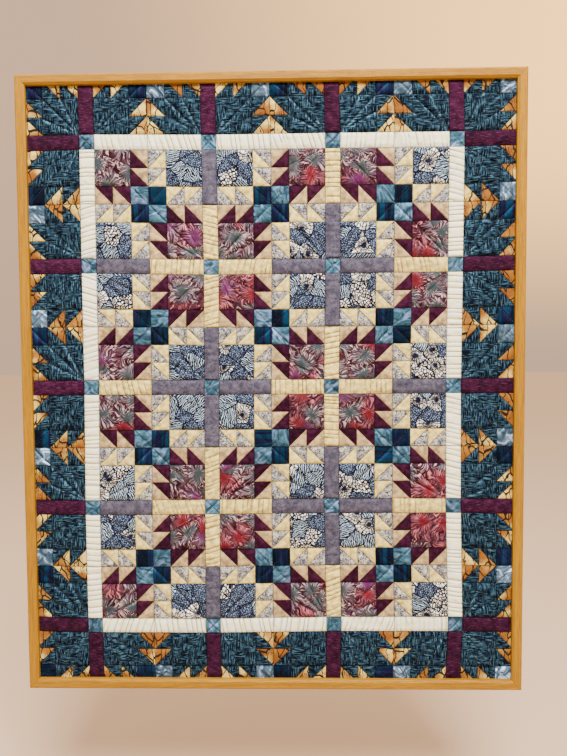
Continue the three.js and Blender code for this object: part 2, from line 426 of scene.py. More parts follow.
def batikPrint(tree, cut):             # bursts of pale strokes out of grey, brick red and purple hearts
    zoneScale = 22.0
    heartReach = 0.032
    place = swayed(tree, cut, 38.0, 0.022)
    radius, around, chances = fromZones(tree, place, zoneScale)
    fan = partsOf(tree, vectorMath(tree, "SCALE", {0: around, 3: 8.0}))
    inputs = {0: fan[0], 1: fan[1], 2: times(tree, radius, 60.0)}
    polar = addNode(tree, "ShaderNodeCombineXYZ", inputs).outputs[0]
    strokes = cloudy(tree, polar, 1.0, 2.0, 0.65, dimensions="3D")
    out = calculate(tree, "DIVIDE", radius, heartReach)
    grey = blendOf(tree, out, [
        (0.14, 52, 63, 69),
        (0.40, 68, 73, 82),
        (0.66, 87, 79, 94),
        (0.95, 75, 53, 67),
    ])
    red = blendOf(tree, out, [
        (0.08, 92, 23, 35),
        (0.34, 103, 36, 47),
        (0.56, 102, 57, 73),
        (0.90, 76, 44, 57),
    ])
    purple = blendOf(tree, out, [(0.1, 85, 31, 78), (0.5, 91, 62, 91), (0.9, 71, 35, 53)])
    isRed = isAbove(tree, chances[0], 0.66)
    isPurple = isAbove(tree, chances[1], 0.86)
    ground = mixColours(tree, isPurple, mixColours(tree, isRed, grey, red), purple)
    inside = softRange(tree, zoneEdge(tree, place, zoneScale), 0.0, 0.16)
    ground = mixColours(tree, inside, shown(63, 35, 47), ground)
    awayFromHeart = softRange(tree, out, 0.16, 0.45)
    dark = times(tree, softRange(tree, strokes, 0.475, 0.425), awayFromHeart)
    ground = mixColours(tree, times(tree, dark, 0.95), ground, shown(39, 12, 24))
    calm = softRange(tree, cloudy(tree, cut, 34.0, 2.0), 0.58, 0.44)
    pale = times(tree, softRange(tree, strokes, 0.54, 0.60), softRange(tree, out, 0.10, 0.34))
    pale = times(tree, pale, timesPlus(tree, calm, 0.6, 0.28))
    strokeColour = mixColours(tree, isRed, shown(196, 174, 177), shown(190, 110, 120))
    return mixColours(tree, pale, ground, strokeColour)


def lacePrint(tree, cut):              # wheels, cobbles, rows and flecks in navy and cream
    zoneScale = 28.0
    ringWidth = 0.0048
    place = swayed(tree, cut, 80.0, 0.008)
    radius, around, chances = fromZones(tree, place, zoneScale)
    parts = partsOf(tree, around)
    angle = calculate(tree, "ARCTAN2", parts[1], parts[0])

    def spokes(count):
        gap = times(tree, times(tree, wave(tree, angle, count / 2), radius), 2 / count)
        return softRange(tree, gap, 0.0005, 0.0014)

    rings = softRange(tree, calculate(tree, "PINGPONG", radius, ringWidth), 0.0003, 0.0012)
    isOuter = isAbove(tree, radius, 2 * ringWidth)
    wheel = times(tree, choose(tree, isOuter, spokes(14), spokes(22)), rings)
    wheel = times(tree, wheel, softRange(tree, radius, 0.003, 0.0045))
    cobbles = softRange(tree, zoneEdge(tree, place, 160.0), 0.15, 0.24)
    inputs = {"Vector": place, "Angle": times(tree, chances[1], 40.0)}
    turned = addNode(tree, "ShaderNodeVectorRotate", inputs, rotation_type="Z_AXIS").outputs[0]
    grain = times(tree, cloudy(tree, cut, 260.0, 1.0), 2.4)
    phase = timesPlus(tree, partsOf(tree, turned)[0], 1550.0, grain)
    rows = softRange(tree, calculate(tree, "SINE", phase), 0.05, 0.6)
    net = zoneEdge(tree, swayed(tree, cut, 200.0, 0.004), 250.0)
    flecks = softRange(tree, net, 0.16, 0.27)
    isCobbled, isRowed, isFlecked = [isAbove(tree, chances[0], level) for level in (0.13, 0.26, 0.60)]
    white = choose(tree, isRowed, choose(tree, isCobbled, wheel, cobbles), rows)
    white = choose(tree, isFlecked, white, flecks)
    white = times(tree, white, softRange(tree, zoneEdge(tree, place, zoneScale), 0.02, 0.05))
    clouds = cloudy(tree, placed(tree, cut, move=(3, 1, 0)), 200.0, 1.0, 0.5, 0.8)
    scribble = softRange(tree, clouds, 0.58, 0.52)
    white = times(tree, white, timesPlus(tree, scribble, 0.6, 0.4))
    paper = mixColours(tree, isRowed, shown(247, 247, 243), shown(176, 201, 225))
    paper = mixColours(tree, isFlecked, paper, shown(121, 141, 174))
    inkShare = softRange(tree, cloudy(tree, cut, 90.0, 2.0), 0.35, 0.65)
    ink = mixColours(tree, inkShare, shown(8, 11, 29), shown(22, 28, 52))
    return mixColours(tree, white, ink, paper)


def hatchedPrint(tree, cut):           # short dark strokes laid in a basket of patches on teal
    along = cloudy(tree, placed(tree, cut, scale=(62, 400, 1)), 1.0, 1.0, 0.5)
    across = cloudy(tree, placed(tree, cut, scale=(400, 62, 1), move=(5, 9, 0)), 1.0, 1.0, 0.5)
    basket = cells(tree, placed(tree, cut, scale=(1, 1.6, 1), move=(0, 3, 0)), 46.0)
    change = softRange(tree, chancesOf(tree, basket)[0], 0.47, 0.53)
    marks = choose(tree, change, along, across)
    crossing = choose(tree, change, across, along)
    ground = blendOf(tree, cloudy(tree, cut, 62.0, 3.0, 0.6), [
        (0.36, 20, 38, 55),
        (0.50, 28, 49, 67),
        (0.64, 38, 63, 80),
    ])
    inked = mixColours(tree, softRange(tree, marks, 0.475, 0.425), ground, shown(5, 10, 24))
    inked = mixColours(tree, softRange(tree, crossing, 0.395, 0.355), inked, shown(5, 9, 23))
    pale = times(tree, softRange(tree, marks, 0.58, 0.68), 0.6)
    return mixColours(tree, pale, inked, shown(64, 101, 121))


def branchPrint(tree, cut):            # thin dark branches on orange and cream
    bent = swayed(tree, cut, 45.0, 0.014)
    ground = blendOf(tree, cloudy(tree, cut, 17.0, 3.0, 0.5), [
        (0.40, 131, 83, 35),
        (0.49, 149, 104, 46),
        (0.55, 167, 136, 77),
        (0.64, 213, 187, 110),
    ])
    branches = zoneEdge(tree, placed(tree, bent, scale=(1, 0.4, 1)), 62.0)
    inked = mixColours(tree, softRange(tree, branches, 0.085, 0.035), ground, shown(31, 25, 22))
    slanted = partsOf(tree, placed(tree, bent, scale=(1900, 1, 1), turn=0.7))
    hatching = softRange(tree, calculate(tree, "SINE", slanted[0]), 0.0, 0.6)
    seeds = times(tree, hatching, softRange(tree, cloudy(tree, cut, 300.0, 1.0), 0.46, 0.54))
    where = cloudy(tree, placed(tree, cut, move=(2, 4, 0)), 34.0, 1.0)
    seeded = times(tree, seeds, softRange(tree, where, 0.54, 0.60))
    return mixColours(tree, seeded, inked, shown(42, 35, 35))


def marbledPrint(scale, stops):        # drifting clouds of near blues
    def colourOf(tree, cut):
        clouds = cloudy(tree, placed(tree, cut, scale=(1, 1.8, 1), turn=0.6), scale, 3.0, 0.55, 1.2)
        return blendOf(tree, clouds, stops)

    return colourOf


def tonedPrint(low, high, scale=60.0):     # almost plain, two near tones clouded together
    def colourOf(tree, cut):
        return blendOf(tree, cloudy(tree, cut, scale, 3.0, 0.6), [(0.35, *low), (0.65, *high)])

    return colourOf


def stripedPrint(tree, cut):           # soft upright stripes of night blue, teal and violet
    bands = cloudy(tree, placed(tree, cut, scale=(64, 5, 1)), 1.0, 1.0, 0.4)
    return blendOf(tree, bands, [
        (0.32, 4, 9, 24),
        (0.43, 5, 30, 52),
        (0.50, 6, 12, 35),
        (0.58, 17, 15, 48),
        (0.68, 8, 42, 67),
    ])


def speckledPrint(tree, cut):          # pale grey with small navy scribbles
    clouds = cloudy(tree, cut, 80.0, 2.0)
    ground = blendOf(tree, clouds, [(0.35, 133, 135, 140), (0.65, 203, 201, 186)])
    lines = zoneEdge(tree, swayed(tree, cut, 150.0, 0.010), 185.0)
    where = softRange(tree, cloudy(tree, cut, 95.0, 1.0), 0.40, 0.52)
    drawn = times(tree, softRange(tree, lines, 0.19, 0.08), where)
    grey = mixColours(tree, times(tree, drawn, 0.95), ground, shown(39, 41, 73))
    blots = softRange(tree, cloudy(tree, cut, 330.0, 1.0), 0.56, 0.64)
    return mixColours(tree, times(tree, blots, 0.7), grey, shown(54, 59, 89))


def stonePrint(tree, cut):             # grey violet with small darker flecks
    ground = tonedPrint((65, 64, 81), (92, 89, 107), 70.0)(tree, cut)
    flecks = softRange(tree, cloudy(tree, cut, 260.0, 1.0), 0.58, 0.68)
    return mixColours(tree, times(tree, flecks, 0.7), ground, shown(51, 48, 70))


def plumStrip(tree, cut):              # plum with a few short pale lines
    ground = tonedPrint((35, 8, 29), (55, 17, 45), 55.0)(tree, cut)
    strip = placed(tree, cut, scale=(85, 820, 1), turn=0.75)
    streaks = softRange(tree, cloudy(tree, strip, 1.0, 1.0, 0.5, 0.4), 0.58, 0.74)
    return mixColours(tree, times(tree, streaks, 0.55), ground, shown(97, 56, 88))


whiteTone = tonedPrint((247, 247, 203), (247, 247, 237))
creamTone = tonedPrint((185, 166, 104), (243, 223, 141), 95.0)
tanTone = tonedPrint((138, 120, 91), (199, 171, 126), 80.0)
plumTone = tonedPrint((35, 8, 27), (55, 18, 42), 90.0)
backingTone = tonedPrint((158, 154, 124), (190, 187, 148))
skyMarble = marbledPrint(38.0, [
    (0.30, 30, 48, 70),
    (0.43, 45, 77, 97),
    (0.54, 60, 101, 124),
    (0.68, 109, 127, 172),
])
mistMarble = marbledPrint(42.0, [
    (0.30, 44, 61, 83),
    (0.44, 62, 87, 108),
    (0.56, 89, 108, 132),
    (0.68, 169, 201, 247),
])

fabrics = {
    "white": finishCotton("whiteCotton", whiteTone, 0.03, highlightLift=0.03),
    "cream": finishCotton("creamCotton", creamTone, 0.07, highlightLift=0.05),
    "tan": finishCotton("tanCotton", tanTone, 0.08),
    "stone": finishCotton("greyVioletCotton", stonePrint, 0.05),
    "speckled": finishCotton("speckledCotton", speckledPrint, 0.03),
    "lace": finishCotton("navyLaceCotton", lacePrint, 0.03, highlightLift=0.35),
    "batik": finishCotton("batikCotton", batikPrint, 0.06, highlightLift=0.6),
    "plum": finishCotton("plumCotton", plumTone, 0.25),
    "plumStrip": finishCotton("plumStripCotton", plumStrip, 0.2),
    "teal": finishCotton("tealHatchedCotton", hatchedPrint, 0.08, highlightLift=1.2),
    "gold": finishCotton("goldBranchCotton", branchPrint, 0.08),
    "blue": finishCotton("blueMarbledCotton", skyMarble, 0.2, highlightLift=0.5),
    "paleBlue": finishCotton("paleBlueMarbledCotton", mistMarble, 0.25, highlightLift=0.5),
    "night": finishCotton("nightStripedCotton", stripedPrint, 0.3),
    "backing": finishCotton("unbleachedBacking", backingTone, 0.02, highlightLift=0.0),
}
fabricNames = list(fabrics)
print("fabrics made:", len(fabrics))


# The patchwork's strips, and what each crossing of two strips is

def makeStrips(blocks, halfSize):
    patch, sash = patchwork["patch"], patchwork["sash"]
    strips = []

    def addHalf(corner, side):         # three patches of one paw, counted away from its cornerstone
        for step in range(3) if side > 0 else (2, 1, 0):
            strips.append({"kind": "patch", "size": patch, "corner": corner, "side": side, "step": step})

    addHalf(0, -1)
    for corner in range(blocks + 1):
        strips.append({"kind": "sash", "size": sash, "corner": corner})
        addHalf(corner, 1)
        if corner < blocks:
            addHalf(corner + 1, -1)
    total = sum(strip["size"] for strip in strips)
    rim = halfSize - total / 2
    strips = [{"kind": "rim", "size": rim}] + strips + [{"kind": "rim", "size": rim}]
    start = -halfSize
    for number, strip in enumerate(strips):
        strip["start"] = start
        strip["border"] = number <= 3 or number >= len(strips) - 4
        start += strip["size"]
    return strips


quiltLow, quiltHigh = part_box("quilt")
quiltHalf = ((quiltHigh.x - quiltLow.x) / 2, (quiltHigh.z - quiltLow.z) / 2)
quiltCentre = ((quiltHigh.x + quiltLow.x) / 2, (quiltHigh.z + quiltLow.z) / 2)
openingHalf = (
    (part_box("frame_right_rail")[0].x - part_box("frame_left_rail")[1].x) / 2,
    (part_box("frame_top_rail")[0].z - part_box("frame_bottom_rail")[1].z) / 2,
)
columns = makeStrips(patchwork["blocksAcross"], quiltHalf[0])
rows = makeStrips(patchwork["blocksDown"], quiltHalf[1])


def clothPlace(strips, index):         # flat place of a lattice line, from the quilt's centre
    number = min(index // lattice["steps"], len(strips) - 1)
    share = (index - number * lattice["steps"]) / lattice["steps"]
    return strips[number]["start"] + share * strips[number]["size"]


def betweenCorners(place, blocks, halfSize):   # the cornerstones on both sides, the share and the fade
    pitch = 6 * patchwork["patch"] + patchwork["sash"]
    number = place / pitch + blocks / 2
    outer = halfSize - blocks / 2 * pitch
    if number < 0:
        return 0, 0, 0.0, (place + halfSize) / outer
    if number > blocks:
        return blocks, blocks, 0.0, (halfSize - place) / outer
    low = min(int(number), blocks - 1)
    return low, low + 1, number - low, 1.0


def sewnPlace(x, down):                # where a flat place ended up once the quilt was sewn
    left, right, across, fadeAcross = betweenCorners(x, patchwork["blocksAcross"], quiltHalf[0])
    top, base, along, fadeAlong = betweenCorners(down, patchwork["blocksDown"], quiltHalf[1])

    def read(table):
        upper = table[top][left] * (1 - across) + table[top][right] * across
        lower = table[base][left] * (1 - across) + table[base][right] * across
        return (upper * (1 - along) + lower * along) * 0.001

    fade = fadeAcross * fadeAlong
    offset = patchwork["offset"]
    sewnX = x + (read(patchwork["shiftsRight"]) + offset[0]) * fade
    sewnDown = down - read(patchwork["shiftsUp"]) * fade + offset[1] * fade
    return sewnX, sewnDown


def pawCorner(strip):                  # where the paw that this strip belongs to starts
    passed = strip["step"] if strip["side"] > 0 else strip["step"] + 1
    return strip["start"] - strip["side"] * passed * patchwork["patch"]


def describeCell(c, r):                # the patch, sash, cornerstone or rim where two strips cross
    column, row = columns[c], rows[r]
    patch = patchwork["patch"]
    cell = {"x": column["start"], "down": row["start"], "width": column["size"], "height": row["size"]}
    cell["key"] = (c, r)
    if "rim" in (column["kind"], row["kind"]):
        return cell | {"kind": "rim", "fabric": "backing"}
    even = (column["corner"] + row["corner"]) % 2 == 0
    inBorder = column["border"] or row["border"]
    if column["kind"] == row["kind"] == "sash":
        return cell | {"kind": "cornerstone", "fabric": "blue"}
    if column["kind"] == "sash" or row["kind"] == "sash":
        lengthways = row if column["kind"] == "sash" else column
        crossing = column if column["kind"] == "sash" else row
        first = lengthways["step"] if lengthways["side"] > 0 else 2 - lengthways["step"]
        if column["kind"] == "sash":
            cell |= {"down": row["start"] - first * patch, "height": 3 * patch, "key": (c, r - first)}
            lastCorner = patchwork["blocksAcross"]
        else:
            cell |= {"x": column["start"] - first * patch, "width": 3 * patch, "key": (c - first, r)}
            lastCorner = patchwork["blocksDown"]
        fabric = "cream" if even else "stone"
        if crossing["corner"] in (0, lastCorner):
            fabric = "white"
        if inBorder:
            fabric = "plumStrip"
        return cell | {"kind": "sash", "upright": column["kind"] == "sash", "fabric": fabric}
    right, down = column["side"], row["side"]
    cornerX, cornerDown = pawCorner(column), pawCorner(row)
    cell |= {"right": right, "sideDown": down, "steps": (column["step"], row["step"])}
    cell |= {"cornerX": cornerX, "cornerDown": cornerDown}
    if max(cell["steps"]) < 2:
        cell |= {"x": min(cornerX, cornerX + right * 2 * patch), "width": 2 * patch}
        cell |= {"down": min(cornerDown, cornerDown + down * 2 * patch), "height": 2 * patch}
        cell["key"] = (column["corner"], row["corner"], right, down)
        return cell | {"kind": "big", "fabric": "teal" if inBorder else ("batik" if even else "lace")}
    if min(cell["steps"]) == 2:
        fabric = ("night" if even else "paleBlue") if inBorder else ("blue" if even else "night")
        return cell | {"kind": "small", "fabric": fabric}
    claw = "teal" if inBorder else ("plum" if even else "cream")
    ground = "gold" if inBorder else ("tan" if even else "speckled")
    return cell | {"kind": "split", "claw": claw, "fabric": ground}


cellTable = [[describeCell(c, r) for c in range(len(columns))] for r in range(len(rows))]


def pawPlace(cell, x, down):           # out of the paw's corner, both ways
    return (x - cell["cornerX"]) * cell["right"], (down - cell["cornerDown"]) * cell["sideDown"]


def splitGap(cell, x, down):           # signed distance from a split square's long seam
    p, q = pawPlace(cell, x, down)
    patch = patchwork["patch"]
    return ((p - cell["steps"][0] * patch) - (q - cell["steps"][1] * patch)) / math.sqrt(2)


rayAngles = [math.atan2(1, 2), math.pi / 4, math.atan2(2, 1)]


def sashLinePhase(cell, x, down):      # counts the quilted lines of half a sash from its end
    chance = random.Random(f"sash {cell['key']}")
    slant = math.tan(chance.uniform(-1, 1) * relief["sashSlant"])
    across, along = x - cell["x"], down - cell["down"]
    if not cell["upright"]:
        across, along = along, across
    place = along + across * slant
    spot = Vector((place * relief["wanderScale"], chance.uniform(0, 60), 2))
    drift = noise.noise(spot) * relief["sashWander"]
    return place / relief["sashPitch"] + chance.uniform(0, 1) + drift


def rayGaps(cell, x, down):            # signed distances from the quilted lines of this cell
    if cell["kind"] == "big":
        p, q = pawPlace(cell, x, down)
        wobble = random.Random(str(cell["key"])).uniform(-relief["rayWobble"], relief["rayWobble"])
        turns = [rayAngles[0] + wobble, rayAngles[1], rayAngles[2] - wobble * 0.6]
        return [p * math.sin(turn) - q * math.cos(turn) for turn in turns]
    if cell["kind"] == "small":
        p, q = pawPlace(cell, x, down)
        return [(p - q) / math.sqrt(2), farAway, farAway]
    if cell["kind"] == "cornerstone":
        across = x - cell["x"] - cell["width"] / 2
        along = down - cell["down"] - cell["height"] / 2
        return [(across - along) / math.sqrt(2), (across + along) / math.sqrt(2), farAway]
    if cell["fabric"] in ("white", "cream") and cell["kind"] == "sash":
        phase = math.pi * sashLinePhase(cell, x, down)
        return [relief["sashPitch"] / 2 * math.sin(phase), farAway, farAway]
    return [farAway, farAway, farAway]


def seamGaps(cell, x, down):           # distances from the seams, the third one signed
    if cell["kind"] == "rim":
        return [farAway, farAway, farAway]
    across = min(x - cell["x"], cell["x"] + cell["width"] - x)
    along = min(down - cell["down"], cell["down"] + cell["height"] - down)
    return [max(across, 0), max(along, 0), splitGap(cell, x, down) if cell["kind"] == "split" else farAway]


def noiseAt(x, down, scale, layer):
    return noise.noise(Vector((x * scale, down * scale, layer)))


def clothHeight(cell, x, down):        # how far the front stands out of the pressed edge
    if cell["kind"] == "rim":
        return 0.0
    gaps = seamGaps(cell, x, down)
    rays = min(abs(gap) for gap in rayGaps(cell, x, down))
    if cell["kind"] == "sash":
        rays = abs(relief["sashPitch"] / math.pi * math.sin(math.pi * sashLinePhase(cell, x, down)))
        crossGap, endGap = gaps[:2] if cell["upright"] else (gaps[1], gaps[0])
        drift = relief["sashPullDrift"] * noiseAt(x, down, relief["sashPullScale"], 9)
        strength = min(max(relief["sashPull"] + drift, 0.1), 1.15)
        if cell["fabric"] in ("stone", "plumStrip"):
            strength *= relief["plainSash"]
        full = relief["sash"] * pillow(crossGap, relief["sashReach"])
        full *= pillow(endGap, relief["sashEndReach"])
        taken = relief["sashLineShare"] * strength * (1 - pillow(rays, relief["sashLineReach"]))
        return relief["seam"] + full * (1 - taken)
    fullness = {"big": "bigSquare", "small": "smallSquare", "split": "triangle", "cornerstone": "cornerstone"}
    full = relief[fullness[cell["kind"]]]
    for gap in gaps:
        full *= pillow(abs(gap), relief["seamReach"])
    full *= 1 - relief["rayShare"] * (1 - pillow(rays, relief["rayReach"]))
    unevenness = noiseAt(x, down, relief["sagScale"], 4) * relief["sag"]
    unevenness *= pillow(min(abs(gap) for gap in gaps), relief["sagReach"])
    return relief["seam"] + full + unevenness


def edgeFade(x, down):                 # flat under the frame's lip, full a little way inside it
    inside = min(openingHalf[0] - abs(x), openingHalf[1] - abs(down)) - relief["lipGap"]
    return smoothStep(inside / relief["edgeFade"])


def stopsOf(strip, alongside, back):   # where the lattice cuts across a strip
    kind = strip["kind"]
    if back and kind != "rim":
        return lattice["back" + kind.capitalize()]
    if kind == "patch" and alongside["kind"] == "sash" and not back:
        return range(lattice["steps"] + 1)
    return lattice[kind]


def makeQuilt():
    vertices, polygons, fabricIndices = [], [], []
    cornerValues = {"cut": [], "OFBake": [], "seamGap": [], "rayGap": [], "tone": []}
    guides = {"points": [], "edges": []}
    made = {}
    steps = lattice["steps"]

    def vertexAt(i, j, back):
        if (i, j, back) not in made:
            x, down = clothPlace(columns, i), clothPlace(rows, j)
            c, r = min(i // steps, len(columns) - 1), min(j // steps, len(rows) - 1)
            sewnX, sewnDown = sewnPlace(x, down)
            fade = edgeFade(sewnX, sewnDown)
            if back:
                atSeam = i % steps == 0 or j % steps == 0
                y = quiltHigh.y - (relief["back"] * fade if atSeam else 0.0)
            else:
                y = patchwork["pressedPlane"] - clothHeight(cellTable[r][c], x, down) * fade
            made[i, j, back] = len(vertices)
            vertices.append((quiltCentre[0] + sewnX, y, quiltCentre[1] - sewnDown))
        return made[i, j, back]

    quads = {False: [], True: []}
    for back in (False, True):
        for r, row in enumerate(rows):
            for c, column in enumerate(columns):
                across = [c * steps + stop for stop in stopsOf(column, row, back)]
                down = [r * steps + stop for stop in stopsOf(row, column, back)]
                for j0, j1 in zip(down, down[1:]):
                    for i0, i1 in zip(across, across[1:]):
                        quads[back].append((c, r, i0, j0, i1, j1))

    onRow, onColumn = {}, {}
    for c, r, i0, j0, i1, j1 in quads[False]:
        for i, j in ((i0, j0), (i1, j0), (i0, j1), (i1, j1)):
            onRow.setdefault(j, set()).add(i)
            onColumn.setdefault(i, set()).add(j)
    onRow = {j: sorted(found) for j, found in onRow.items()}
    onColumn = {i: sorted(found) for i, found in onColumn.items()}

    def pick(found, low, high):        # what lies strictly between the two
        return found[bisect_right(found, low):bisect_left(found, high)]

    def loopOf(i0, j0, i1, j1):        # down the left, along the foot, up the right, back along the top
        loop = [(i0, j0)] + [(i0, j) for j in pick(onColumn[i0], j0, j1)]
        loop += [(i0, j1)] + [(i, j1) for i in pick(onRow[j1], i0, i1)]
        loop += [(i1, j1)] + [(i1, j) for j in reversed(pick(onColumn[i1], j0, j1))]
        loop += [(i1, j0)] + [(i, j0) for i in reversed(pick(onRow[j0], i0, i1))]
        return loop

    def cutTurn(cell, fabric):         # each patch is cut from its own place on the cloth
        chance = random.Random(f"{patchwork['seed']} {cell['key']} {fabric}")
        turn = chance.uniform(0, math.tau)
        if fabric in ("teal", "night", "plumStrip", "gold"):
            skew = patchwork["cutSkew"]
            turn = chance.choice((0, math.pi)) + chance.uniform(-skew, skew)
        if fabric == "night" and chance.random() < patchwork["nightCutAcross"]:
            turn += math.pi / 2
        reach = patchwork["cutReach"]
        return turn, chance.uniform(0, reach), chance.uniform(0, reach), chance.uniform(-1, 1)

    def addGuides(loop, cell):         # where quilted lines cross this face
        places = [(clothPlace(columns, i), clothPlace(rows, j)) for i, j in loop]
        furthest = [half - relief["stitchMargin"] for half in openingHalf]
        if any(abs(x) > furthest[0] or abs(down) > furthest[1] for x, down in places):
            return
        gapsAround = [rayGaps(cell, x, down) for x, down in places]
        nudge = 1e-7                   # a corner that lies on a line counts on one side of it
        for line in range(3):
            gaps = [around[line] + nudge for around in gapsAround]
            crossings = []
            for k, gap in enumerate(gaps):
                before = gaps[k - 1]
                if (before < 0) != (gap < 0):
                    ends = [Vector(vertices[vertexAt(*loop[place], False)]) for place in (k - 1, k)]
                    crossings.append(ends[0].lerp(ends[1], before / (before - gap)))
            if len(crossings) == 2:
                count = len(guides["points"])
                guides["edges"].append((count, count + 1))
                guides["points"] += crossings

    def addPolygon(loop, cell, fabric, back=False):
        turn, moveX, moveY, tone = cutTurn(cell, fabric)
        sine, cosine = math.sin(turn), math.cos(turn)
        middle = (cell["x"] + cell["width"] / 2, cell["down"] + cell["height"] / 2)
        for i, j in loop:
            x, down = clothPlace(columns, i), clothPlace(rows, j)
            flatX, flatUp = x - middle[0], middle[1] - down
            if back:
                flatX, flatUp, moveX, moveY, sine, cosine, tone = x, -down, 0, 0, 0, 1, 0
            cutX = flatX * cosine - flatUp * sine + moveX
            cutY = flatX * sine + flatUp * cosine + moveY
            cornerValues["cut"] += [cutX, cutY]
            cornerValues["OFBake"] += bakePlace(x, down, back)
            cornerValues["seamGap"] += seamGaps(cell, x, down)
            cornerValues["rayGap"] += rayGaps(cell, x, down)
            cornerValues["tone"].append(tone)
        polygons.append([vertexAt(i, j, back) for i, j in loop])
        fabricIndices.append(fabricNames.index(fabric))

    def bakePlace(x, down, back):      # a small copy of the back lies beside the front
        size = 2 * quiltHalf[1]
        startU, startV, scale = bakeSheet["back" if back else "front"]
        return [startU + scale * (x + quiltHalf[0]) / size, startV + scale * (quiltHalf[1] - down) / size]

    def foldOf(cell, i0, j0, i1, j1):  # this face's diagonal, where it lies on one of its patch's
        if cell["kind"] not in ("split", "small", "big", "cornerstone"):
            return None
        if cell["kind"] == "big" and cell["steps"][0] != cell["steps"][1]:
            return None
        left, top = i0 % steps, j0 % steps
        right, low = i1 - i0 + left, j1 - j0 + top
        isCrossed = cell["kind"] == "cornerstone"
        falls = isCrossed or cell["right"] == cell["sideDown"]
        rises = isCrossed or not falls
        if rises and left == steps - low and right == steps - top:
            return (i0, j1), (i1, j0)
        if falls and left == top and right == low:
            return (i0, j0), (i1, j1)
        return None

    for c, r, i0, j0, i1, j1 in quads[False]:
        cell = cellTable[r][c]
        loop = loopOf(i0, j0, i1, j1)
        fold = foldOf(cell, i0, j0, i1, j1)
        pieces = [loop]
        if fold:
            first, second = sorted(loop.index(end) for end in fold)
            pieces = [loop[first:second + 1], loop[second:] + loop[:first + 1]]
        for piece in pieces:
            fabric = cell["fabric"]
            if cell["kind"] == "split":
                x = sum(clothPlace(columns, i) for i, j in piece) / len(piece)
                down = sum(clothPlace(rows, j) for i, j in piece) / len(piece)
                side = splitGap(cell, x, down)
                fabric = cell["claw"] if (side < 0) == (cell["steps"][0] == 2) else cell["fabric"]
            addPolygon(piece, cell, fabric)
            addGuides(piece, cell)

    for c, r, i0, j0, i1, j1 in quads[True]:
        addPolygon([(i0, j0), (i1, j0), (i1, j1), (i0, j1)], cellTable[r][c], "backing", back=True)

    def closeEdge(stops, found, placeOf, isTurned):    # the narrow edge, from the face to the back
        for low, high in zip(stops, stops[1:]):
            front = [placeOf(stop) for stop in [low] + pick(found, low, high) + [high]]
            if isTurned:
                front.reverse()
            corners = [(*place, False) for place in front] + [(*front[-1], True), (*front[0], True)]
            polygons.append([vertexAt(*corner) for corner in corners])
            fabricIndices.append(fabricNames.index("backing"))
            count = len(corners)
            cornerValues["cut"] += [0.0, 0.0] * count
            cornerValues["OFBake"] += bakeSheet["edge"] * count
            cornerValues["seamGap"] += [farAway] * 3 * count
            cornerValues["rayGap"] += [farAway] * 3 * count
            cornerValues["tone"] += [0.0] * count

    lastI, lastJ = len(columns) * steps, len(rows) * steps
    backI = sorted({i for quad in quads[True] for i in (quad[2], quad[4])})
    backJ = sorted({j for quad in quads[True] for j in (quad[3], quad[5])})
    closeEdge(backI, onRow[0], lambda i: (i, 0), False)
    closeEdge(backI, onRow[lastJ], lambda i: (i, lastJ), True)
    closeEdge(backJ, onColumn[0], lambda j: (0, j), True)
    closeEdge(backJ, onColumn[lastI], lambda j: (lastI, j), False)

    mesh = bpy.data.meshes.new("quiltTop")
    mesh.from_pydata(vertices, [], polygons)
    for name in ("cut", "OFBake"):
        mesh.uv_layers.new(name=name)
        mesh.uv_layers[name].uv.foreach_set("vector", cornerValues[name])
    for name in ("seamGap", "rayGap"):
        mesh.attributes.new(name, "FLOAT_VECTOR", "CORNER").data.foreach_set("vector", cornerValues[name])
    mesh.attributes.new("tone", "FLOAT", "CORNER").data.foreach_set("value", cornerValues["tone"])
    mesh.polygons.foreach_set("material_index", fabricIndices)
    mesh.polygons.foreach_set("use_smooth", [True] * len(polygons))
    for name in fabricNames:
        mesh.materials.append(fabrics[name])
    mesh.validate()
    mesh.update()
    quilt = bpy.data.objects.new("framed_quilt_cloth", mesh)
    bpy.context.scene.collection.objects.link(quilt)
    mesh.calc_loop_triangles()
    print("quilt triangles:", len(mesh.loop_triangles))
    return quilt, guides


quilt, stitchGuides = makeQuilt()
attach(quilt, "root")
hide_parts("quilt")
railNames = ["frame_top_rail", "frame_bottom_rail", "frame_left_rail", "frame_right_rail"]
print("quilt made")


# Running stitches in the quilted lines, by Geometry Nodes along the guides that the cloth gives

stitchSettings = {
    "Pitch": 0.0046,
    "Length": 0.0030,
    "Thickness": 0.00048,
    "Unevenness": 0.14,
    "Lift": 0.00006,                   # how far a stitch's middle stands before the cloth
    "Seed": 11,
}
stitchShape = {"Segments": 4, "Rings": 3, "Radius": 1.0}
guideJoin = 0.0001                     # ends of guides this near are the same point
threadLook = {
    "pale": (100, 100, 99),
    "dark": (77, 77, 77),
    "roughness": 0.7,
    "twist": 2400.0,
    "twistHeight": 0.00008,
}


def makeThread():
    material, tree = startMaterial("quiltingThread")
    place = addNode(tree, "ShaderNodeTexCoord").outputs["Object"]
    drift = cloudy(tree, place, 140.0, 2.0, dimensions="3D")
    spun = placed(tree, place, scale=(threadLook["twist"],) * 3, turn=0.6)
    twist = cloudy(tree, spun, 1.0, 1.0, dimensions="3D")
    finishMaterial(tree, {
        "Base Color": blendOf(tree, drift, [(0.35, *threadLook["dark"]), (0.65, *threadLook["pale"])]),
        "Roughness": threadLook["roughness"],
        "Normal": bumpOf(tree, times(tree, twist, threadLook["twistHeight"])),
    })
    return material


